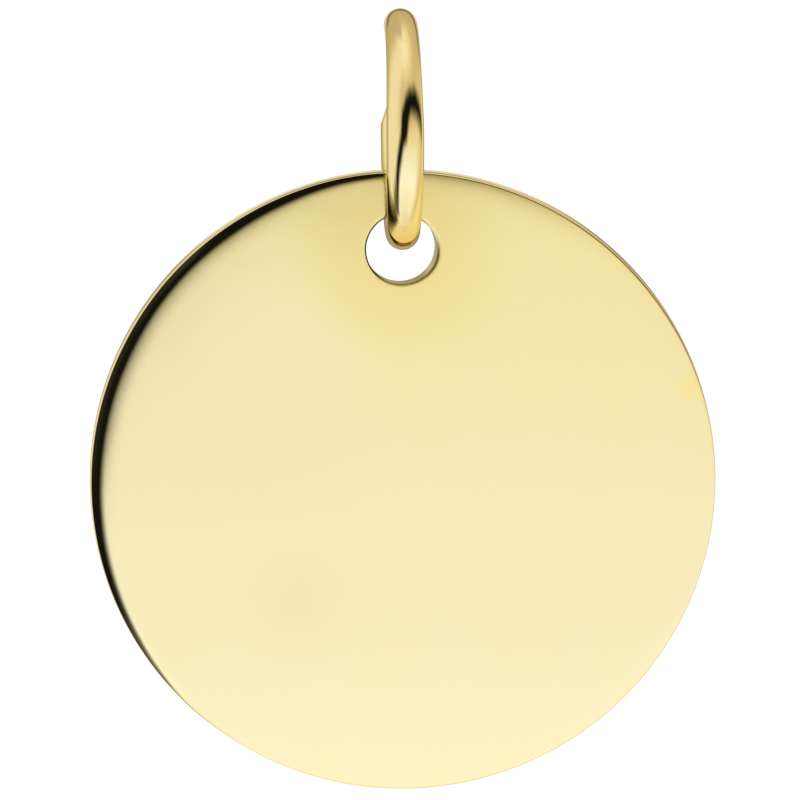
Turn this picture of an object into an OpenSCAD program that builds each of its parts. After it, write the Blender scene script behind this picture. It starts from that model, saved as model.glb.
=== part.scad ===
// Disc pendant: a plain round disc of polished yellow gold with one hole near its rim,
// hanging from a round-wire jump ring that stands square to it and takes the chain.
// Millimetres, +Z up. The origin is where a chain bears on the top of the ring's eye.
// The disc's front face looks along -Y, and a chain runs through the ring along X.

/* [Disc] */
// Diameter of the disc
disc_d = 16; // [12:0.5:26]
// Thickness of the disc
disc_t = 0.65; // [0.5:0.05:1.2]
// Width of the rolled edge round the front face
roll_w = 0.3; // [0.2:0.05:0.6]
// How far the rolled edge falls back at the rim
roll_h = 0.05; // [0.04:0.01:0.2]
// Radius of the rim's back corner
back_r = 0.08; // [0.02:0.01:0.15]

/* [Hole] */
// Diameter of the hole
hole_d = 1.8; // [1.5:0.05:2.6]
// Distance of the hole's centre from the rim
hole_inset = 2; // [1.6:0.1:3]
// Width of the bevel that breaks the hole's two edges
hole_break = 0.05; // [0.02:0.01:0.12]

/* [Jump ring] */
// Inside diameter of the jump ring
ring_id = 4.4; // [4:0.1:8]
// Diameter of the wire
wire_d = 0.88; // [0.6:0.02:1.1]
// Turn of the ring out of square with the disc, in degrees
ring_turn = -1; // [-5:0.5:5]

/* [Cut in the ring] */
// Height of the cut above the ring's middle, at the back, in degrees round the ring
cut_rise = 5; // [0:1:20]
// Gap between the two cut ends
cut_gap = 0.04; // [0.01:0.01:0.2]
// How far the upper end stands to the side of the lower one
cut_offset = 0.2; // [0:0.02:0.5]
// Length over which the side cutters nipped each end to a wedge
nip_len = 0.5; // [0.2:0.05:0.8]
// Depth of the nip on each side of the wire at its end
nip_depth = 0.2; // [0.04:0.02:0.26]

/* [Fit] */
// Clearance between the wire and the top of the hole that hangs on it
hang_gap = 0.03; // [0.02:0.01:0.1]

/* [Hidden] */
$fn = 128;
gold = "#ecd890";
over = 0.1;

disc_r = disc_d / 2;
hole_r = hole_d / 2;
wire_r = wire_d / 2;

// The rolled edge is an arc that leaves the face tangent to it.
roll_r = (pow(roll_w, 2) + pow(roll_h, 2)) / (2 * roll_h);

// The wire's centre line is a circle that touches the origin with its inner side at the top.
ring_r = ring_id / 2 + wire_r;
ring_z = -ring_id / 2;

// The ring curves up on both sides of the disc, so the hole's top clears it at the two faces.
ring_rise = ring_r - sqrt(pow(ring_r, 2) - pow(disc_t / 2, 2));
hole_z = ring_z - ring_r - (hole_r - wire_r - ring_rise - hang_gap);
disc_z = hole_z + hole_inset - disc_r;

// The wire runs from the ring's top to its cut ends, one way round past the front and the bottom
// and the other way a quarter round.
gap_angle = cut_gap / ring_r * 180 / PI;
long_run = 270 + cut_rise - gap_angle / 2;
short_run = 90 - cut_rise - gap_angle / 2;
nip_slope = atan(nip_depth / nip_len);
lean = asin(cut_offset / ring_r);

// Half of the disc's section: radius outwards, front face up.
module disc_section() {
    difference() {
        square([disc_r, disc_t]);
        translate([disc_r - roll_w, disc_t - roll_h])
            difference() {
                square([roll_w + over, roll_h + over]);
                translate([0, roll_h - roll_r]) circle(r = roll_r);
            }
        translate([disc_r - back_r, 0])
            difference() {
                translate([0, -over]) square([back_r + over, back_r + over]);
                translate([0, back_r]) circle(r = back_r);
            }
    }
}

// The drill's bore with a small bevel at both faces, along its own Z and centred on it.
module hole_tool() {
    cylinder(h = disc_t + 2 * over, r = hole_r, center = true);
    for (side = [0, 1])
        mirror([0, 0, side])
            translate([0, 0, disc_t / 2 - hole_break])
                cylinder(h = hole_break + over, r1 = hole_r, r2 = hole_r + hole_break + over);
}

module disc() {
    color(gold)
        translate([0, 0, disc_z])
            rotate([90, 0, 0])
                difference() {
                    translate([0, 0, -disc_t / 2]) rotate_extrude() disc_section();
                    translate([0, disc_r - hole_inset, 0]) hole_tool();
                }
}

// What the cutters took off both sides of a wire's end. The end is at the origin, facing +Y.
module nip_tool() {
    for (side = [0, 1])
        mirror([0, 0, side])
            translate([-wire_d, -nip_len, wire_r])
                rotate([-nip_slope, 0, 0])
                    translate([0, -over, 0]) cube([2 * wire_d, nip_len + 3 * over, wire_d]);
}

// The wire from the top of the ring round by an angle, to its nipped end.
module run_of_wire(angle) {
    rotate([0, 0, 90])
        difference() {
            rotate_extrude(angle = angle) translate([ring_r, 0]) circle(r = wire_r);
            rotate([0, 0, angle]) translate([ring_r, 0, 0]) nip_tool();
        }
}

// The short run leans sideways from the top, so the two cut ends stand beside each other.
module jump_ring() {
    color(gold)
        translate([0, 0, ring_z])
            rotate([0, 0, -ring_turn])
                rotate([90, 0, 90]) {
                    run_of_wire(long_run);
                    translate([0, ring_r, 0])
                        rotate([-lean, 0, 0])
                            translate([0, -ring_r, 0])
                                mirror([1, 0, 0]) run_of_wire(short_run);
                }
}

jump_ring();
disc();
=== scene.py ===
import math
import bpy
import numpy as np
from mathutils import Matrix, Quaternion, Vector


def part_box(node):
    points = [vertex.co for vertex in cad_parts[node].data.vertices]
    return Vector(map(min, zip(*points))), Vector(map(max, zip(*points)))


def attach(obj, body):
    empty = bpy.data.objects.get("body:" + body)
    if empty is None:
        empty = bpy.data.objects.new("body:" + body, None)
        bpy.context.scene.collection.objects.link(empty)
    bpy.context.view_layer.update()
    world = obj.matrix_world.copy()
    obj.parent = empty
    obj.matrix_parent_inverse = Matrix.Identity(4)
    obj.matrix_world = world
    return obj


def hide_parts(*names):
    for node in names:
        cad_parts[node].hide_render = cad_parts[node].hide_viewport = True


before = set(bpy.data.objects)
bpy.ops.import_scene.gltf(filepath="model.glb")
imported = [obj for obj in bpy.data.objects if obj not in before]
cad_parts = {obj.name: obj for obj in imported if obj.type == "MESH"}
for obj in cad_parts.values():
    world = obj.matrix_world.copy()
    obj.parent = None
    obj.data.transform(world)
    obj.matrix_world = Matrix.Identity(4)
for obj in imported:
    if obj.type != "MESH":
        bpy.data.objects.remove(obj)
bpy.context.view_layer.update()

# Camera
# It looks at the hanging pendant with a long lens from a little above and hardly to the left, as
# in the photograph, and leans a third of a degree, so the pendant's top leans to the left.
mm = 0.001
view_azimuth = math.radians(-1.2)
view_elevation = math.radians(9.3)
view_lean = math.radians(-0.35)
view_distance = 400 * mm
view_width = 20.43 * mm
view_middle = Vector((-0.055, 0, -9.19)) * mm
sensor_width = 36
nearest_seen = 10 * mm
farthest_seen = 100

back_towards_camera = Vector((
    math.sin(view_azimuth) * math.cos(view_elevation),
    -math.cos(view_azimuth) * math.cos(view_elevation),
    math.sin(view_elevation),
))
lens = bpy.data.cameras.new("camera")
lens.sensor_width = sensor_width
lens.lens = sensor_width * view_distance / view_width
lens.clip_start = nearest_seen
lens.clip_end = farthest_seen
camera = bpy.data.objects.new("camera", lens)
camera.location = view_middle + back_towards_camera * view_distance
camera.rotation_mode = "QUATERNION"
lean_turn = Quaternion((0, 0, 1), view_lean)
camera.rotation_quaternion = back_towards_camera.to_track_quat("Z", "Y") @ lean_turn
bpy.context.scene.collection.objects.link(camera)
bpy.context.scene.camera = camera
bpy.context.scene.view_settings.view_transform = "Standard"

# Floor and backdrop
# A wide pale floor far below the pendant, under an even white sky. Both are lit past white,
# because the photograph's background is cut to a clean white.
floor_depth = 600 * mm
floor_half = 15
floor_color = (0.93, 0.93, 0.93, 1)
floor_roughness = 0.9
sky_color = (1, 1, 1, 1)
sky_strength = 1.15

sky = bpy.data.worlds.new("white_sky")
sky.use_nodes = True
sky_light = sky.node_tree.nodes["Background"]
sky_light.inputs["Color"].default_value = sky_color
sky_light.inputs["Strength"].default_value = sky_strength
bpy.context.scene.world = sky

floor_corners = [
    (-floor_half, -floor_half, -floor_depth),
    (floor_half, -floor_half, -floor_depth),
    (floor_half, floor_half, -floor_depth),
    (-floor_half, floor_half, -floor_depth),
]
floor_mesh = bpy.data.meshes.new("floor")
floor_mesh.from_pydata(floor_corners, [], [(0, 1, 2, 3)])
floor_paint = bpy.data.materials.new("floor_paint")
floor_paint.use_nodes = True
floor_surface = floor_paint.node_tree.nodes["Principled BSDF"]
floor_surface.inputs["Base Color"].default_value = floor_color
floor_surface.inputs["Roughness"].default_value = floor_roughness
floor_mesh.materials.append(floor_paint)
floor = bpy.data.objects.new("floor", floor_mesh)
bpy.context.scene.collection.objects.link(floor)

# Light tent
# Polished gold shows little but what stands round it, so the pendant hangs inside a small tent of
# lit cloth that the camera doesn't see. The tent's panels and its black flag are soft-edged shapes
# on the cloth, each placed by compass angle (0 to the front, minus to the left) and height angle.
tent_radius = 40 * mm
tent_middle = Vector((0, -1.5, -4)) * mm
tent_turn = math.radians(3)
tent_segments = 96
quarter_turn = 90
half_turn = 180
least_length_squared = 0.001


def add_socket(group, name, way, kind="NodeSocketFloat"):
    group.interface.new_socket(name, in_out=way, socket_type=kind)


def math_node(tree, operation, *values, clamp=False):
    """A Math node whose inputs are numbers or other nodes' outputs; gives its output."""
    node = tree.nodes.new("ShaderNodeMath")
    node.operation = operation
    node.use_clamp = clamp
    for socket, value in zip(node.inputs, values):
        if isinstance(value, (int, float)):
            socket.default_value = value
        else:
            tree.links.new(value, socket)
    return node.outputs[0]


def build_bar_distance():
    """How far a spot on the cloth lies outside a tapered bar, in degrees, and minus inside it."""
    group = bpy.data.node_groups.new("bar_distance", "ShaderNodeTree")
    for name in ("Azimuth", "Height", "Start azimuth", "Start height", "End azimuth", "End height"):
        add_socket(group, name, "INPUT")
    add_socket(group, "Start half width", "INPUT")
    add_socket(group, "End half width", "INPUT")
    add_socket(group, "Distance", "OUTPUT")
    given = group.nodes.new("NodeGroupInput").outputs
    taken = group.nodes.new("NodeGroupOutput").inputs
    # The spot and the bar's end, both seen from the bar's start
    across = math_node(group, "SUBTRACT", given["Azimuth"], given["Start azimuth"])
    across = math_node(group, "WRAP", across, half_turn, -half_turn)
    rise = math_node(group, "SUBTRACT", given["Height"], given["Start height"])
    end_across = math_node(group, "SUBTRACT", given["End azimuth"], given["Start azimuth"])
    end_rise = math_node(group, "SUBTRACT", given["End height"], given["Start height"])
    # How far along the bar the nearest point of its middle line lies, from 0 to 1
    along = math_node(group, "MULTIPLY", across, end_across)
    along = math_node(group, "MULTIPLY_ADD", rise, end_rise, along)
    length_squared = math_node(group, "MULTIPLY", end_across, end_across)
    length_squared = math_node(group, "MULTIPLY_ADD", end_rise, end_rise, length_squared)
    length_squared = math_node(group, "ADD", length_squared, least_length_squared)
    share = math_node(group, "DIVIDE", along, length_squared, clamp=True)
    # The distance from that point, less the bar's half width there
    nearest_across = math_node(group, "MULTIPLY", share, end_across)
    nearest_rise = math_node(group, "MULTIPLY", share, end_rise)
    off_across = math_node(group, "SUBTRACT", across, nearest_across)
    off_rise = math_node(group, "SUBTRACT", rise, nearest_rise)
    off_squared = math_node(group, "MULTIPLY", off_across, off_across)
    off_squared = math_node(group, "MULTIPLY_ADD", off_rise, off_rise, off_squared)
    distance = math_node(group, "SQRT", off_squared)
    taper = math_node(group, "SUBTRACT", given["End half width"], given["Start half width"])
    half_width = math_node(group, "MULTIPLY_ADD", taper, share, given["Start half width"])
    group.links.new(math_node(group, "SUBTRACT", distance, half_width), taken["Distance"])
    return group


bar_distance = build_bar_distance()

# The cloth's own light by height angle, from straight below to straight above.
cloth_light = (
    (-90, (0.91, 0.88, 0.72)),
    (-60, (1.01, 1.03, 1.00)),
    (-40, (1.09, 1.13, 1.18)),
    (-32, (1.04, 1.105, 1.22)),
    (-24, (1.01, 1.05, 1.12)),
    (-12, (0.96, 0.98, 0.88)),
    (0, (0.92, 0.84, 0.60)),
    (15, (0.76, 0.65, 0.42)),
    (42, (0.69, 0.59, 0.39)),
    (52, (0.75, 0.65, 0.45)),
    (62, (0.88, 0.80, 0.58)),
    (75, (0.98, 0.94, 0.76)),
    (90, (1.02, 1.02, 0.93)),
)
# Each panel is a bar: its name, start, end, half width and softness in degrees, and light.
tent_panels = (
    ("left_panel", (-85, 4), (-75, 60), 38, 36, (0.94, 0.89, 0.75)),
    ("far_left_shade", (-148, -5), (-158, 55), 20, 26, (0.60, 0.54, 0.42)),
    ("right_panel", (100, -50), (100, 0), 22, 40, (0.79, 0.68, 0.43)),
    ("rear_low_wall", (150, -22), (205, -22), 12, 10, (0.56, 0.49, 0.36)),
    ("rear_wall", (150, -8), (180, -8), 12, 12, (0.38, 0.31, 0.20)),
    ("rear_left_wall", (190, -4), (202, -4), 9, 10, (0.46, 0.42, 0.35)),
    ("rear_gap_right", (146, -31), (174, -41), 4.5, 6, (0.28, 0.17, 0.02)),
    ("rear_gap_left", (174, -41), (196, -35), 4.5, 6, (0.28, 0.17, 0.02)),
    ("rear_strip", (173, 2), (187, 4), 7, 6, (0.86, 0.80, 0.66)),
    ("rear_haze", (120, 28), (205, 28), 8, 16, (0.64, 0.57, 0.43)),
    ("rear_shade", (143, 12), (176, 17), 4, 7, (0.20, 0.18, 0.12)),
    ("rear_shade_left", (176, 17), (196, 12), 4, 7, (0.24, 0.21, 0.14)),
    ("lower_left_shade", (-112, -50), (-74, -42), 12, 20, (0.21, 0.16, 0.06)),
    ("front_left_glow", (-18, -16), (-8, -16), 4, 8, (0.98, 1.00, 1.035)),
)
# One strip of black felt bends from the right, over the lens and down to the left, and gets wider
# and narrower on its way. Its bends by compass and height angle, each with its half width there.
flag_bends = (
    (108, 2, 4),
    (66, 26, 10),
    (32, 35, 10),
    (8, 29, 13.5),
    (-7, 15, 18),
    (-21, 0, 9.5),
    (-33, -12, 9.5),
    (-46, -23, 9),
    (-57, -34, 9.5),
    (-64, -45, 5.5),
    (-75, -53, 3.5),
    (-89, -58, 4.5),
)
flag_light = (0.008, 0.008, 0.007)
flag_softness = 15
flag_shadow_inside = 3.5
flag_shadow_outside = 10.5
flag_shadow = 0.62

tent_cloth = bpy.data.materials.new("tent_cloth")
tent_cloth.use_nodes = True
tent_cloth.cycles.emission_sampling = "NONE"
cloth_tree = tent_cloth.node_tree
cloth_tree.nodes.clear()
cloth_place = cloth_tree.nodes.new("ShaderNodeSeparateXYZ")
cloth_coordinates = cloth_tree.nodes.new("ShaderNodeTexCoord")
cloth_tree.links.new(cloth_coordinates.outputs["Object"], cloth_place.inputs[0])
towards_front = math_node(cloth_tree, "MULTIPLY", cloth_place.outputs["Y"], -1)
cloth_azimuth = math_node(cloth_tree, "ARCTAN2", cloth_place.outputs["X"], towards_front)
cloth_azimuth = math_node(cloth_tree, "DEGREES", cloth_azimuth)
up_share = math_node(cloth_tree, "DIVIDE", cloth_place.outputs["Z"], tent_radius)
up_share = math_node(cloth_tree, "MINIMUM", up_share, 1)
up_share = math_node(cloth_tree, "MAXIMUM", up_share, -1)
cloth_height = math_node(cloth_tree, "DEGREES", math_node(cloth_tree, "ARCSINE", up_share))
ramp = cloth_tree.nodes.new("ShaderNodeValToRGB")
ramp.color_ramp.interpolation = "EASE"
height_share = math_node(cloth_tree, "MULTIPLY_ADD", cloth_height, 1 / half_turn, 0.5)
cloth_tree.links.new(height_share, ramp.inputs["Fac"])
while len(ramp.color_ramp.elements) < len(cloth_light):
    ramp.color_ramp.elements.new(0.5)
for element, (angle, light) in zip(ramp.color_ramp.elements, cloth_light):
    element.position = (angle + quarter_turn) / half_turn
    element.color = (*light, 1)


def bar_on_cloth(name, start, end, start_half_width, end_half_width):
    bar = cloth_tree.nodes.new("ShaderNodeGroup")
    bar.node_tree = bar_distance
    bar.label = name
    cloth_tree.links.new(cloth_azimuth, bar.inputs["Azimuth"])
    cloth_tree.links.new(cloth_height, bar.inputs["Height"])
    start_azimuth, start_height = start
    end_azimuth, end_height = end
    bar.inputs["Start azimuth"].default_value = start_azimuth
    bar.inputs["Start height"].default_value = start_height
    bar.inputs["End azimuth"].default_value = end_azimuth
    bar.inputs["End height"].default_value = end_height
    bar.inputs["Start half width"].default_value = start_half_width
    bar.inputs["End half width"].default_value = end_half_width
    return bar.outputs["Distance"]


def laid_over(under, distance, softness, light):
    """The cloth's light with a soft-edged shape of another light over it."""
    edge = cloth_tree.nodes.new("ShaderNodeMapRange")
    edge.interpolation_type = "SMOOTHSTEP"
    cloth_tree.links.new(distance, edge.inputs["Value"])
    edge.inputs["From Min"].default_value = softness / 2
    edge.inputs["From Max"].default_value = -softness / 2
    over = cloth_tree.nodes.new("ShaderNodeMix")
    over.data_type = "RGBA"
    cloth_tree.links.new(edge.outputs["Result"], over.inputs["Factor"])
    cloth_tree.links.new(under, over.inputs["A"])
    over.inputs["B"].default_value = (*light, 1)
    return over.outputs["Result"]


cloth = ramp.outputs["Color"]
for name, start, end, half_width, softness, light in tent_panels:
    panel = bar_on_cloth(name, start, end, half_width, half_width)
    cloth = laid_over(cloth, panel, softness, light)
# A spot is as far from the flag as from its nearest stretch
flag = half_turn
for (*start, start_half_width), (*end, end_half_width) in zip(flag_bends, flag_bends[1:]):
    stretch = bar_on_cloth("flag", start, end, start_half_width, end_half_width)
    flag = math_node(cloth_tree, "MINIMUM", stretch, flag)
# The flag takes some light from the cloth beside it
near_flag = cloth_tree.nodes.new("ShaderNodeMapRange")
near_flag.interpolation_type = "SMOOTHSTEP"
cloth_tree.links.new(flag, near_flag.inputs["Value"])
near_flag.inputs["From Min"].default_value = -flag_shadow_inside
near_flag.inputs["From Max"].default_value = flag_shadow_outside
near_flag.inputs["To Min"].default_value = flag_shadow
near_flag.inputs["To Max"].default_value = 1
shadowed = cloth_tree.nodes.new("ShaderNodeVectorMath")
shadowed.operation = "SCALE"
cloth_tree.links.new(cloth, shadowed.inputs[0])
cloth_tree.links.new(near_flag.outputs["Result"], shadowed.inputs["Scale"])
cloth = laid_over(shadowed.outputs["Vector"], flag, flag_softness, flag_light)
glow = cloth_tree.nodes.new("ShaderNodeEmission")
cloth_tree.links.new(cloth, glow.inputs["Color"])
cloth_surface = cloth_tree.nodes.new("ShaderNodeOutputMaterial")
cloth_tree.links.new(glow.outputs["Emission"], cloth_surface.inputs["Surface"])

bpy.ops.mesh.primitive_uv_sphere_add(
    segments=tent_segments, ring_count=tent_segments // 2, radius=tent_radius, location=tent_middle
)
tent = bpy.context.object
tent.name = "light_tent"
tent.rotation_euler.z = tent_turn
tent.data.materials.append(tent_cloth)
tent.data.shade_smooth()
tent.visible_camera = False
tent.visible_shadow = False

# Disc
# One round of pale yellow gold, stamped from sheet and mirror-polished. The buff has pillowed the
# face near its rim and rolled the front edge back, most on the left side, where it leaned longest.
# The hole near the top was drilled last, and its edges are broken and a little worn.
disc_low, disc_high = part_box("disc")
disc_radius = (disc_high.x - disc_low.x) / 2
disc_thick = disc_high.y - disc_low.y
disc_middle = (disc_high.z + disc_low.z) / 2
disc_segments = 360
face_steps = 64
lip_steps = 12
rim_steps = 56
corner_steps = 8
wall_steps = 8
back_steps = 12
bore_steps = 8
rim_zone = 0.75 * mm
back_corner = 0.08 * mm
wall_crown = 0.006 * mm
hole_radius = 0.9 * mm
hole_inset = 2 * mm
hole_break = 0.05 * mm
hole_round = 0.012 * mm
bore_lean = 0.045 * mm
# The hole's front lip leans into the hole, more on its worn side, where the jump ring rubs
lip_zone = 0.18 * mm
lip_slope = math.radians(6)
worn_lip_slope = math.radians(13)
lip_width = 0.055 * mm
worn_lip_width = 0.095 * mm
worn_side = math.radians(-4)
worn_side_focus = 3
dent_middle = (-2.75 * mm, -14.5 * mm)
dent_reach = 0.75 * mm
dent_depth = 0.006 * mm

# How the front edge is rolled back, by the angle round the disc, 0 at the right and 90 at the top:
# its slope at the corner in degrees, its reach inward in mm, how suddenly it ends, the corner's
# radius in mm, and the share of the slope that fades over a longer reach.
edge_rolls = (
    (0, 4, 0.22, 1, 0.06, 0),
    (20, 4.4, 0.25, 0.85, 0.08, 0),
    (40, 4.9, 0.29, 0.8, 0.085, 0),
    (60, 5.6, 0.33, 0.7, 0.07, 0),
    (75, 3.5, 0.17, 1, 0.05, 0),
    (86, 3.3, 0.11, 1, 0.04, 0),
    (96, 9.5, 0.12, 2, 0.02, 0),
    (103, 9.5, 0.145, 2, 0.02, 0.08),
    (110, 9.5, 0.18, 2.4, 0.03, 0.17),
    (125, 10, 0.225, 3.2, 0.04, 0.3),
    (140, 9.8, 0.245, 4, 0.045, 0.37),
    (152, 10.4, 0.255, 4, 0.055, 0.45),
    (162, 11.8, 0.25, 4, 0.055, 0.48),
    (172, 13.6, 0.25, 4, 0.055, 0.46),
    (180, 15.5, 0.25, 3.6, 0.055, 0.3),
    (190, 17.5, 0.235, 3.6, 0.055, 0.15),
    (200, 20, 0.215, 3.6, 0.05, 0.09),
    (210, 23, 0.175, 3, 0.05, 0.03),
    (220, 26, 0.11, 2.4, 0.05, 0),
    (232, 20, 0.08, 2, 0.055, 0),
    (245, 4, 0.16, 1, 0.055, 0),
    (360, 4, 0.22, 1, 0.055, 0),
)
# The longer reach as a multiple of the shorter one, and how suddenly it ends
far_reach = 1.95
far_fall = 2.5

hole_middle = disc_high.z - hole_inset
front_y = -disc_thick / 2
back_y = disc_thick / 2
wall_radius = disc_radius - wall_crown
back_edge = hole_radius + hole_break


def eased(count):
    """Shares from 0 to 1 that crowd together at both ends."""
    return [0.5 - 0.5 * math.cos(math.pi * k / count) for k in range(count + 1)]


def skin_of_rows(name, grid, closed):
    """A mesh over rows of rings: closed joins the last row to the first, else both are capped."""
    count, per_row = grid.shape[:2]
    faces = []
    for i in range(count if closed else count - 1):
        j = (i + 1) % count
        for k in range(per_row):
            n = (k + 1) % per_row
            faces.append((i * per_row + k, i * per_row + n, j * per_row + n, j * per_row + k))
    if not closed:
        faces.append(tuple(reversed(range(per_row))))
        faces.append(tuple(range((count - 1) * per_row, count * per_row)))
    mesh = bpy.data.meshes.new(name)
    mesh.from_pydata(grid.reshape(-1, 3).tolist(), [], faces)
    mesh.shade_smooth()
    return mesh


around = np.linspace(0, 2 * math.pi, disc_segments, endpoint=False)
roll_angles, *roll_columns = np.array(edge_rolls).T
roll_slopes, roll_widths, roll_falls, front_corners, far_shares = [
    np.interp(np.degrees(around), roll_angles, column) for column in roll_columns
]
roll_slopes = np.radians(roll_slopes)
roll_widths = roll_widths * mm
front_corners = front_corners * mm
worn = np.clip(np.cos(around - worn_side), 0, 1) ** worn_side_focus
lip_slopes = lip_slope + (worn_lip_slope - lip_slope) * worn
lip_widths = lip_width + (worn_lip_width - lip_width) * worn


def roll_slope(inward):
    """The buffed roll's lean at a distance inward, before it is brought to level at its end."""
    near = np.exp(-((inward / roll_widths) ** roll_falls))
    far = np.exp(-((inward / roll_widths / far_reach) ** far_fall))
    return roll_slopes * (near + far_shares * (far - near))


def rim_slope(inward):
    """How far the front face leans back, at a distance inward from its front corner."""
    return roll_slope(inward) - roll_slope(rim_zone)


def lip_slope_at(outward):
    """How far the front face leans into the hole, at a distance outward from the hole's round."""
    return lip_slopes * np.exp(-((outward / lip_widths) ** 2))


def fall_back(slope_at, zone, steps):
    """Distances from a zone's far side to its edge, and how far the face falls back at each."""
    fallen = 0
    spots = []
    here = zone
    for k in range(1, steps + 1):
        there = zone * (1 - k / steps) ** 2
        fallen = fallen + (here - there) * np.tan(slope_at((here + there) / 2))
        spots.append((there, fallen))
        here = there
    return spots


corner_slope = rim_slope(0)
edge_radius = wall_radius - front_corners * (1 - np.sin(corner_slope))
rim_fall = fall_back(rim_slope, rim_zone, rim_steps)
mouth_slope = lip_slope_at(0)
mouth_radius = hole_radius + hole_round * (1 - np.sin(mouth_slope))
lip_fall = fall_back(lip_slope_at, lip_zone, lip_steps)


# The disc's skin is a closed loop of circles, each given by how far its middle lies aside, its
# middle's height, its radius and its depth.
def face_rows():
    """From the hole's mouth over its lip and the flat of the face to the rim's zone."""
    rows = []
    for outward, fallen in reversed(lip_fall):
        rows.append((0, hole_middle, mouth_radius + outward, front_y + fallen))
    face_start = mouth_radius + lip_zone
    face_end = edge_radius - rim_zone
    for share in eased(face_steps):
        middle = hole_middle + (disc_middle - hole_middle) * share
        rows.append((0, middle, face_start + (face_end - face_start) * share, front_y))
    return rows


def rim_rows():
    """The roll, the front corner, the slightly crowned wall and the back corner."""
    rows = []
    for inward, fallen in rim_fall:
        depth = front_y + fallen
        rows.append((0, disc_middle, edge_radius - inward, depth))
    corner_depth = depth + front_corners * np.cos(corner_slope)
    for k in range(1, corner_steps + 1):
        slope = corner_slope + (math.pi / 2 - corner_slope) * k / corner_steps
        out = wall_radius - front_corners * (1 - np.sin(slope))
        rows.append((0, disc_middle, out, corner_depth - front_corners * np.cos(slope)))
    wall_end = back_y - back_corner
    for k in range(1, wall_steps):
        share = k / wall_steps
        out = disc_radius - wall_crown * (2 * share - 1) ** 2
        rows.append((0, disc_middle, out, corner_depth + (wall_end - corner_depth) * share))
    for k in range(corner_steps + 1):
        turn = math.pi / 2 * k / corner_steps
        out = wall_radius - back_corner * (1 - math.cos(turn))
        rows.append((0, disc_middle, out, wall_end + back_corner * math.sin(turn)))
    return rows


def back_rows():
    """The flat back, from the rim to the edge of the leaning bore."""
    rows = []
    back_radius = wall_radius - back_corner
    for share in reversed(eased(back_steps)[:-1]):
        aside = -bore_lean * (1 - share)
        middle = hole_middle + (disc_middle - hole_middle) * share
        rows.append((aside, middle, back_edge + (back_radius - back_edge) * share, back_y))
    return rows


def bore_rows():
    """The hole's back edge, its leaning bore and the round at its mouth."""
    rows = []
    for k in range(1, corner_steps + 1):
        turn = math.pi / 2 * k / corner_steps
        out = back_edge - hole_break * math.sin(turn)
        rows.append((-bore_lean, hole_middle, out, back_y - hole_break * (1 - math.cos(turn))))
    lip_fallen = lip_fall[-1][1]
    bore_front = front_y + lip_fallen + hole_round * np.cos(mouth_slope)
    bore_back = back_y - hole_break
    for k in range(1, bore_steps + 1):
        share = k / bore_steps
        depth = bore_back + (bore_front - bore_back) * share
        rows.append((-bore_lean * (1 - share), hole_middle, hole_radius, depth))
    for k in range(1, corner_steps):
        slope = math.pi / 2 + (mouth_slope - math.pi / 2) * k / corner_steps
        out = hole_radius + hole_round * (1 - np.sin(slope))
        rows.append((0, hole_middle, out, bore_front - hole_round * np.cos(slope)))
    return rows


disc_grid = []
for aside, middle, radius, depth in face_rows() + rim_rows() + back_rows() + bore_rows():
    row = np.empty((disc_segments, 3))
    row[:, 0] = aside + radius * np.cos(around)
    row[:, 1] = depth
    row[:, 2] = middle + radius * np.sin(around)
    from_dent = np.hypot(row[:, 0] - dent_middle[0], row[:, 2] - dent_middle[1])
    on_front_half = row[:, 1] < 0
    row[:, 1] += dent_depth * np.exp(-((from_dent / dent_reach) ** 2)) * on_front_half
    disc_grid.append(row)
disc_mesh = skin_of_rows("polished_disc", np.array(disc_grid), closed=True)
polished_disc = bpy.data.objects.new("polished_disc", disc_mesh)
bpy.context.scene.collection.objects.link(polished_disc)

# The gold's own finish: scales are marks per mm, hairlines are drawn out along the third
# coordinate, and depths and dullings are shares of deep gold and of roughness.
polished_gold = (0.93, 0.80, 0.46, 1)
deep_gold = (0.965, 0.79, 0.365, 1)
cloud_scale = 0.45
cloud_start = 0.4
cloud_full = 0.75
wave_scale = 0.8
hairline_scale = 14
hairline_stretch = (1, 1, 0.04)
speck_scale = 30
cloud_depth = 0.16
film_and_sheen_depth = 0.9
speck_depth = 0.12
cloud_dulling = 0.015
hairline_dulling = 0.02
film_dulling = 0.05


def mapped(tree, value, low, high):
    """A smooth step from 0 at the low value to 1 at the high one."""
    node = tree.nodes.new("ShaderNodeMapRange")
    node.interpolation_type = "SMOOTHSTEP"
    tree.links.new(value, node.inputs["Value"])
    node.inputs["From Min"].default_value = low
    node.inputs["From Max"].default_value = high
    return node.outputs["Result"]


def vector_node(tree, operation, value, other):
    node = tree.nodes.new("ShaderNodeVectorMath")
    node.operation = operation
    tree.links.new(value, node.inputs[0])
    node.inputs[1].default_value = other
    return node.outputs["Vector"]


def noise(tree, place, scale, detail):
    node = tree.nodes.new("ShaderNodeTexNoise")
    tree.links.new(place, node.inputs["Vector"])
    node.inputs["Scale"].default_value = scale
    node.inputs["Detail"].default_value = detail
    return node.outputs["Fac"]


def mixed(tree, share, first, second, kind="FLOAT"):
    """The first value where the share is 0 and the second where it is 1."""
    node = tree.nodes.new("ShaderNodeMix")
    node.data_type = kind
    sockets = [socket for socket in node.inputs if socket.enabled]
    for socket, value in zip(sockets, (share, first, second)):
        if isinstance(value, (int, float, tuple)):
            socket.default_value = value
        else:
            tree.links.new(value, socket)
    return next(socket for socket in node.outputs if socket.enabled)


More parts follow.
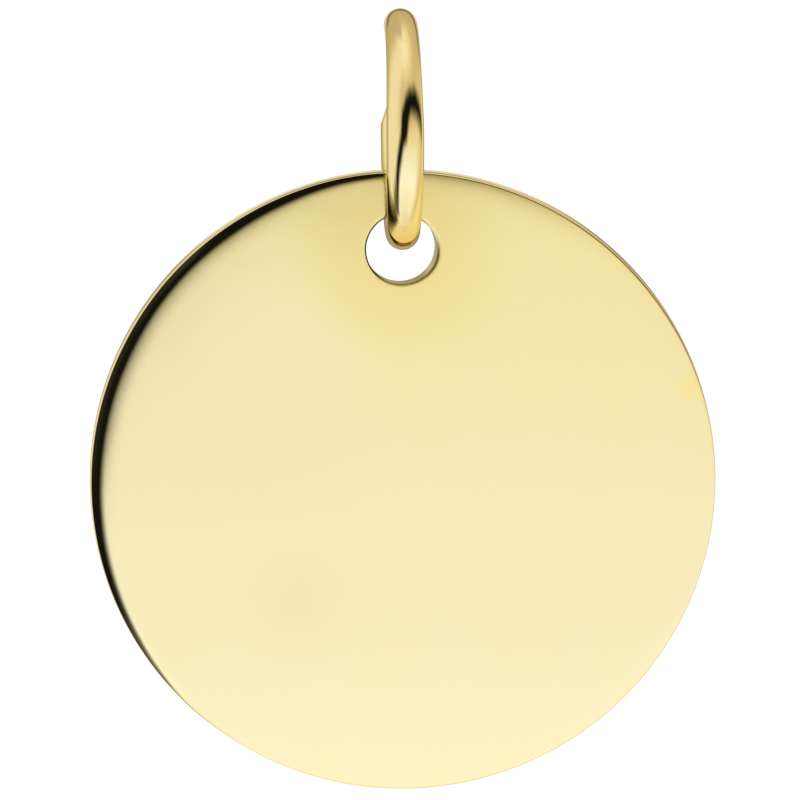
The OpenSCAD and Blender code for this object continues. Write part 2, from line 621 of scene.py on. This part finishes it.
def build_buffed_gold():
    """Buffed gold: soft clouds of colour, low waves, and hairlines along the third coordinate."""
    group = bpy.data.node_groups.new("buffed_gold", "ShaderNodeTree")
    add_socket(group, "Position", "INPUT", "NodeSocketVector")
    add_socket(group, "Gold", "INPUT", "NodeSocketColor")
    add_socket(group, "Deep gold", "INPUT", "NodeSocketColor")
    add_socket(group, "Film and sheen", "INPUT")
    add_socket(group, "Polish", "INPUT")
    add_socket(group, "Hairlines", "INPUT")
    add_socket(group, "Color", "OUTPUT", "NodeSocketColor")
    add_socket(group, "Roughness", "OUTPUT")
    add_socket(group, "Height", "OUTPUT")
    given = group.nodes.new("NodeGroupInput").outputs
    taken = group.nodes.new("NodeGroupOutput").inputs
    in_mm = vector_node(group, "MULTIPLY", given["Position"], (1 / mm, 1 / mm, 1 / mm))
    drawn_out = vector_node(group, "MULTIPLY", in_mm, hairline_stretch)
    clouds = noise(group, in_mm, cloud_scale, detail=3)
    clouds = mapped(group, clouds, cloud_start, cloud_full)
    waves = noise(group, in_mm, wave_scale, detail=1)
    hairs = noise(group, drawn_out, hairline_scale, detail=4)
    specks = noise(group, in_mm, speck_scale, detail=2)
    # The film input deepens the gold: old polish, and round the disc's hole a painted reflection of
    # the ring
    deep = math_node(group, "MULTIPLY", given["Film and sheen"], film_and_sheen_depth)
    deep = math_node(group, "MULTIPLY_ADD", clouds, cloud_depth, deep)
    deep = math_node(group, "MULTIPLY_ADD", specks, speck_depth, deep, clamp=True)
    color = mixed(group, deep, given["Gold"], given["Deep gold"], "RGBA")
    dull = math_node(group, "MULTIPLY_ADD", clouds, cloud_dulling, given["Polish"])
    dull = math_node(group, "MULTIPLY_ADD", hairs, hairline_dulling, dull)
    dull = math_node(group, "MULTIPLY_ADD", given["Film and sheen"], film_dulling, dull)
    height = math_node(group, "MULTIPLY_ADD", hairs, given["Hairlines"], waves)
    group.links.new(color, taken["Color"])
    group.links.new(dull, taken["Roughness"])
    group.links.new(height, taken["Height"])
    return group


buffed_gold = build_buffed_gold()


def lay_gold(tree, place, polish, hairlines):
    """The buffed gold in a piece's own material, over that piece's coordinates."""
    gold = tree.nodes.new("ShaderNodeGroup")
    gold.node_tree = buffed_gold
    tree.links.new(place, gold.inputs["Position"])
    gold.inputs["Gold"].default_value = polished_gold
    gold.inputs["Deep gold"].default_value = deep_gold
    gold.inputs["Polish"].default_value = polish
    gold.inputs["Hairlines"].default_value = hairlines
    return gold


def finish_gold(finish, edge_tint, color, roughness, height, relief):
    """A gold whose colour, roughness and relief come from nodes already in its own tree."""
    tree = finish.node_tree
    shader = tree.nodes["Principled BSDF"]
    shader.inputs["Metallic"].default_value = 1
    shader.inputs["Specular Tint"].default_value = edge_tint
    bump = tree.nodes.new("ShaderNodeBump")
    bump.inputs["Strength"].default_value = 1
    bump.inputs["Distance"].default_value = relief
    tree.links.new(height, bump.inputs["Height"])
    tree.links.new(bump.outputs["Normal"], shader.inputs["Normal"])
    tree.links.new(color, shader.inputs["Base Color"])
    tree.links.new(roughness, shader.inputs["Roughness"])


clean_edge_tint = (1, 1, 1, 1)
disc_roughness = 0.03
disc_hairlines = 0.1
disc_relief = 0.003 * mm
buff_lean = math.radians(24)
# Round the hole the gold is painted deeper, a painted reflection of the ring, and there are two
# smears of old polish on the face: each smear's middle across and up in mm, its reach in mm and its
# strength.
near_hole_reach = 2.4 * mm
film_smears = (
    (-2.9, -14.45, 1.7, 0.1),
    (7.35, -8.9, 0.45, 1.5),
)
# How much painted shade darkens the face round the hole
hole_shade_share = 0.045
smudged_gold = (0.89, 0.745, 0.385, 1)
smudge_middle = (-2.75 * mm, front_y, -14.3 * mm)
smudge_reach = 2.1 * mm
smudge_share = 0.55
# The bore is rough from the drill and ringed by it. Its brown is painted shade in the recess, less
# of it at its right, and its left is painted near black as painted shade.
shaded_drilled_gold = (0.46, 0.31, 0.08, 1)
drilled_roughness = 0.3
drilled_metal = 0.8
drill_marks = (0.6 / mm, 16 / mm, 0.6 / mm)
drill_contrast = 0.5
least_bore_shade = 0.7
right_side_lift = 0.9
right_side_start = 0.55 * hole_radius
right_side_full = 0.9 * hole_radius
# A near black for painted shade, in the bore's left and round the hole
painted_shade_black = (0.03, 0.022, 0.01, 1)
left_side_start = -0.3 * hole_radius
left_side_full = -0.75 * hole_radius
left_side_weight = 2
bore_reach = 0.05 * mm
bore_full = 0.025 * mm


def spot_on_face(tree, place, middle, reach):
    """1 at the middle of a round spot on the disc and 0 beyond its reach."""
    distance = tree.nodes.new("ShaderNodeVectorMath")
    distance.operation = "LENGTH"
    tree.links.new(vector_node(tree, "SUBTRACT", place, middle), distance.inputs[0])
    return mapped(tree, distance.outputs["Value"], reach, 0)


disc_gold = bpy.data.materials.new("disc_gold")
disc_gold.use_nodes = True
disc_tree = disc_gold.node_tree
disc_place = disc_tree.nodes.new("ShaderNodeTexCoord").outputs["Object"]
disc_axes = disc_tree.nodes.new("ShaderNodeSeparateXYZ")
disc_tree.links.new(disc_place, disc_axes.inputs[0])
across = disc_axes.outputs["X"]
above_hole = math_node(disc_tree, "SUBTRACT", disc_axes.outputs["Z"], hole_middle)
from_hole = math_node(disc_tree, "MULTIPLY", across, across)
from_hole = math_node(disc_tree, "MULTIPLY_ADD", above_hole, above_hole, from_hole)
from_hole = math_node(disc_tree, "SQRT", from_hole)
near_hole = mapped(disc_tree, from_hole, hole_radius, hole_radius + near_hole_reach)
near_hole = math_node(disc_tree, "SUBTRACT", 1, near_hole)
# The gold is painted deeper round the hole as a painted reflection of the ring; the smears are old
# polish
film_and_sheen = near_hole
for smear_across, smear_up, smear_reach, strength in film_smears:
    smear_middle = (smear_across * mm, front_y, smear_up * mm)
    smear = spot_on_face(disc_tree, disc_place, smear_middle, smear_reach * mm)
    film_and_sheen = math_node(disc_tree, "MULTIPLY_ADD", smear, strength, film_and_sheen)
# The buffing lines lean to the right as they rise
buffed_place = disc_tree.nodes.new("ShaderNodeVectorRotate")
buffed_place.rotation_type = "Y_AXIS"
disc_tree.links.new(disc_place, buffed_place.inputs["Vector"])
buffed_place.inputs["Angle"].default_value = buff_lean
face_gold = lay_gold(disc_tree, buffed_place.outputs["Vector"], disc_roughness, disc_hairlines)
disc_tree.links.new(film_and_sheen, face_gold.inputs["Film and sheen"])
# A faint brown smudge lies at the lower left, and painted shade darkens the face round the hole
smudge = spot_on_face(disc_tree, disc_place, smudge_middle, smudge_reach)
smudge = math_node(disc_tree, "MULTIPLY", smudge, smudge_share)
face_color = mixed(disc_tree, smudge, face_gold.outputs["Color"], smudged_gold, "RGBA")
# Painted shade: the face round the hole is darkened a little towards near black
hole_shade = math_node(disc_tree, "MULTIPLY", near_hole, hole_shade_share)
face_color = mixed(disc_tree, hole_shade, face_color, painted_shade_black, "RGBA")
# The drill left rings round the bore, so its marks change fast with depth and slowly round it
drill_place = vector_node(disc_tree, "MULTIPLY", disc_place, drill_marks)
drill_rings = noise(disc_tree, drill_place, scale=1, detail=3)
# The bore's brown is painted shade in the recess, mottled by the drill rings and less at its right
bore_marks_and_shade = math_node(disc_tree, "MULTIPLY_ADD", drill_rings, drill_contrast, least_bore_shade)
bore_right_side = mapped(disc_tree, across, right_side_start, right_side_full)
bore_marks_and_shade = math_node(disc_tree, "MULTIPLY_ADD", bore_right_side, -right_side_lift, bore_marks_and_shade, clamp=True)
# The bore's left is painted near black: painted shade
bore_left_side = mapped(disc_tree, across, left_side_start, left_side_full)
bore_color = mixed(disc_tree, bore_marks_and_shade, polished_gold, shaded_drilled_gold, "RGBA")
bore_color = mixed(disc_tree, bore_left_side, bore_color, painted_shade_black, "RGBA")
bore = mapped(disc_tree, from_hole, hole_radius + bore_reach, hole_radius + bore_full)
bore_shade_share = math_node(disc_tree, "MAXIMUM", bore_marks_and_shade, math_node(disc_tree, "MULTIPLY", bore_left_side, left_side_weight))
shaded_bore = math_node(disc_tree, "MULTIPLY", bore, bore_shade_share)
metal = mixed(disc_tree, shaded_bore, 1, drilled_metal)
disc_tree.links.new(metal, disc_tree.nodes["Principled BSDF"].inputs["Metallic"])
finish_gold(
    disc_gold,
    clean_edge_tint,
    mixed(disc_tree, bore, face_color, bore_color, "RGBA"),
    mixed(disc_tree, bore, face_gold.outputs["Roughness"], drilled_roughness),
    mixed(disc_tree, bore, face_gold.outputs["Height"], drill_rings),
    disc_relief,
)
disc_mesh.materials.append(disc_gold)
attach(polished_disc, "disc")
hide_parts("disc")

# Jump ring
# Round gold wire wound on a mandrel, cut off with side cutters and closed by hand, not soldered.
# Its front is a little flattened by wear against what it hangs on. The cut is at the back, where
# one nipped end stands beside the other.
ring_low, ring_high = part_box("jump_ring")
# The frame's origin is where a chain would touch the wire, so the wire's thickness lies above it
wire_radius = ring_high.z / 2
ring_radius = (ring_high.z - ring_low.z) / 2 - wire_radius
ring_middle = (ring_high.z + ring_low.z) / 2
ring_turn = math.radians(-1)
ring_aside = 0.02 * mm
wire_half_width = 0.43 * mm
front_spread = 0.048 * mm
front_spread_focus = 4
cut_rise = math.radians(5)
cut_gap = 0.04 * mm
cut_offset = 0.2 * mm
cut_offset_run = math.radians(75)
nip_length = 0.5 * mm
nip_depth = 0.2 * mm
end_round = 0.03 * mm
wire_steps = 300
wire_segments = 80

# From the ring's top to the cut it is three quarters of a turn one way and one the other way
half_gap = cut_gap / ring_radius / 2
long_run = math.radians(270) + cut_rise - half_gap
short_run = math.radians(90) - cut_rise - half_gap
wire_angles = np.linspace(0, 2 * math.pi, wire_segments, endpoint=False)


def smooth_rise(value, start, end):
    """0 before the start, 1 after the end, and a smooth rise between them."""
    share = np.clip((value - start) / (end - start), 0, 1)
    return share * share * (3 - 2 * share)


def wire_row(travel):
    """The wire's section at an angle from the ring's top, plus towards the front."""
    to_end = min(travel + short_run, long_run - travel) * ring_radius
    rounding = max(0, end_round - to_end)
    shrink = end_round - math.sqrt(max(0, end_round ** 2 - rounding ** 2))
    frontness = max(0, math.sin(travel)) ** front_spread_focus
    half_width = wire_half_width + front_spread * frontness
    radius = ring_radius + (wire_radius - shrink) * np.cos(wire_angles)
    side = (half_width - shrink) * np.sin(wire_angles)
    if to_end < nip_length:
        room = wire_radius - nip_depth * (1 - to_end / nip_length) - shrink
        side = np.clip(side, -room, room)
    drift = ring_aside + cut_offset * smooth_rise(-travel, 0, cut_offset_run)
    across = side + drift
    front = -radius * math.sin(travel)
    row = np.empty((wire_segments, 3))
    row[:, 0] = across * math.cos(ring_turn) + front * math.sin(ring_turn)
    row[:, 1] = -across * math.sin(ring_turn) + front * math.cos(ring_turn)
    row[:, 2] = ring_middle + radius * math.cos(travel)
    return row


# The wire is followed from its end above the cut, over the top, down the front and round to the
# lower end.
ring_grid = [
    wire_row(-short_run + (short_run + long_run) * share) for share in eased(wire_steps)
]
ring_mesh = skin_of_rows("ring_wire", np.array(ring_grid), closed=False)
ring_wire = bpy.data.objects.new("ring_wire", ring_mesh)
bpy.context.scene.collection.objects.link(ring_wire)

worn_edge_tint = (0.84, 0.76, 0.58, 1)
ring_roughness = 0.045
ring_hairlines = 0.14
ring_relief = 0.003 * mm
ring_gold = bpy.data.materials.new("ring_gold")
ring_gold.use_nodes = True
ring_tree = ring_gold.node_tree
# The wire's marks follow it round: its coordinates are aside, outward and along the wire
ring_axes = ring_tree.nodes.new("ShaderNodeSeparateXYZ")
ring_coordinates = ring_tree.nodes.new("ShaderNodeTexCoord")
ring_tree.links.new(ring_coordinates.outputs["Object"], ring_axes.inputs[0])
behind_middle = ring_axes.outputs["Y"]
above_middle = math_node(ring_tree, "SUBTRACT", ring_axes.outputs["Z"], ring_middle)
outward = math_node(ring_tree, "MULTIPLY", behind_middle, behind_middle)
outward = math_node(ring_tree, "MULTIPLY_ADD", above_middle, above_middle, outward)
outward = math_node(ring_tree, "SQRT", outward)
along = math_node(ring_tree, "ARCTAN2", behind_middle, above_middle)
along = math_node(ring_tree, "MULTIPLY", along, ring_radius)
wire_place = ring_tree.nodes.new("ShaderNodeCombineXYZ")
ring_tree.links.new(ring_axes.outputs["X"], wire_place.inputs["X"])
ring_tree.links.new(outward, wire_place.inputs["Y"])
ring_tree.links.new(along, wire_place.inputs["Z"])
wire_gold = lay_gold(ring_tree, wire_place.outputs["Vector"], ring_roughness, ring_hairlines)
finish_gold(
    ring_gold,
    worn_edge_tint,
    wire_gold.outputs["Color"],
    wire_gold.outputs["Roughness"],
    wire_gold.outputs["Height"],
    ring_relief,
)
ring_mesh.materials.append(ring_gold)
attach(ring_wire, "jump_ring")
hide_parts("jump_ring")
